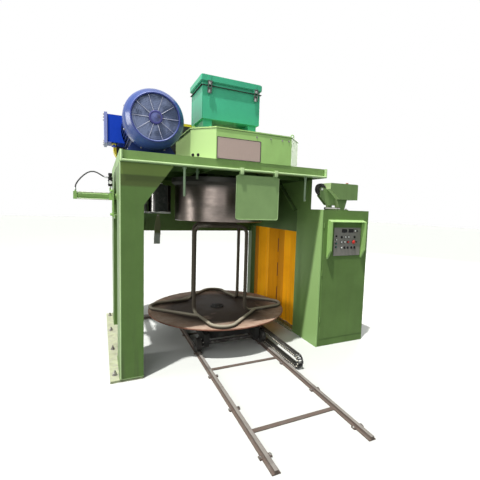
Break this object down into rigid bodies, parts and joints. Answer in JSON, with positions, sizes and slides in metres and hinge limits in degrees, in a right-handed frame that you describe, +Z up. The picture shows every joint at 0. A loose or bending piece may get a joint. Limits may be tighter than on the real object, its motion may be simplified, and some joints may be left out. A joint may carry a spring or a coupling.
{
  "type": "wire drawing machine",
  "caption": "Inverted vertical wire drawing machine with hanging drum, coil carrier on a rail trolley, press roller, die box, control cabinet, motor and gearbox",
  "frame": {"origin": "Middle of the whole machine's bounding box, on the floor. The drum's axis stands 22.5 mm to the left of it and 580 mm behind it.", "axes": "+Z up; +X to the right along the front beam towards the control cabinet; +Y from the front with the rails to the rear; -Y is the front."},
  "size_m": [3.245, 3.58, 2.9158],
  "materials": {
    "green_paint": "satin, worn and dusty",
    "pale_green_paint": "satin, faded",
    "teal_paint": "semi-gloss",
    "blue_paint": "semi-gloss",
    "yellow_paint": "semi-gloss",
    "orange_paint": "satin, dusty",
    "plate_aluminium": "brushed",
    "panel_grey": "matte",
    "black_plastic": "matte",
    "black_rubber": "matte",
    "polished_steel": "polished",
    "worn_steel": "worn bright",
    "dark_steel": "greasy",
    "rusty_steel": "rusty"
  },
  "bodies": {
    "machine": {"left_sole_plate": "green_paint", "right_sole_plate": "green_paint", "left_front_leg": "green_paint", "left_rear_leg": "green_paint", "right_front_leg": "green_paint", "right_rear_leg": "green_paint", "front_beam": "green_paint", "rear_beam": "green_paint", "left_side_beam": "pale_green_paint", "right_side_beam": "green_paint", "deck_plate": "green_paint", "rear_panel": "green_paint", "door_header": "green_paint", "press_crossbeam": "green_paint", "spindle_housing": "green_paint", "gearbox_housing": "pale_green_paint", "name_plate": "plate_aluminium", "top_box": "teal_paint", "top_box_lid": "teal_paint", "motor_body": "blue_paint", "motor_cowl": "blue_paint", "terminal_box": "blue_paint", "belt_guard": "yellow_paint", "belt_guard_mesh": "dark_steel", "drive_belts": "black_rubber", "front_guard": "pale_green_paint", "hanger_rods": "pale_green_paint", "cabinet_body": "green_paint", "panel_hood": "pale_green_paint", "control_panel": "panel_grey", "panel_buttons": "black_plastic", "die_box": "green_paint", "die_box_stand": "green_paint", "guide_bracket": "green_paint", "press_cylinder": "pale_green_paint", "air_hose": "black_rubber", "folding_door": "orange_paint", "door_track": "orange_paint", "left_rail": "dark_steel", "right_rail": "dark_steel", "rail_ties": "dark_steel", "drag_chain": "black_plastic"},
    "drum_body": {"drum": "worn_steel"},
    "press_arm": {"piston_rod": "polished_steel", "press_yoke": "green_paint"},
    "press_roller_body": {"press_roller": "polished_steel"},
    "guide_wheel_body": {"guide_wheel": "dark_steel"},
    "trolley": {"trolley_frame": "dark_steel"},
    "front_wheels": {"front_wheelset": "dark_steel"},
    "rear_wheels": {"rear_wheelset": "dark_steel"},
    "carrier": {"carrier_disc": "rusty_steel", "carrier_frame": "rusty_steel"}
  },
  "joints": [
    {"name": "drum_spin", "type": "hinge", "parent": "machine", "child": "drum_body", "pos_m": [-0.0225, 0.58, 1.7], "axis": [0, 0, 1], "continuous": true},
    {"name": "trolley_slide", "type": "slide", "parent": "machine", "child": "trolley", "axis": [0, -1, 0], "range_m": [0, 1.5]},
    {"name": "carrier_spin", "type": "hinge", "parent": "trolley", "child": "carrier", "pos_m": [-0.0225, 0.58, 0.34], "axis": [0, 0, 1], "continuous": true},
    {"name": "front_wheels_spin", "type": "hinge", "parent": "trolley", "child": "front_wheels", "pos_m": [-0.0225, 0.065, 0.1003], "axis": [1, 0, 0], "continuous": true},
    {"name": "rear_wheels_spin", "type": "hinge", "parent": "trolley", "child": "rear_wheels", "pos_m": [-0.0225, 1.095, 0.1003], "axis": [1, 0, 0], "continuous": true},
    {"name": "press_slide", "type": "slide", "parent": "machine", "child": "press_arm", "axis": [1, 0, 0], "range_m": [0, 0.05]},
    {"name": "press_roller_spin", "type": "hinge", "parent": "press_arm", "child": "press_roller_body", "pos_m": [-0.7475, 0.58, 1.695], "axis": [0, 0, 1], "continuous": true},
    {"name": "guide_wheel_spin", "type": "hinge", "parent": "machine", "child": "guide_wheel_body", "pos_m": [0.9885, -0.14, 1.87], "axis": [0, 1, 0], "continuous": true}
  ]
}
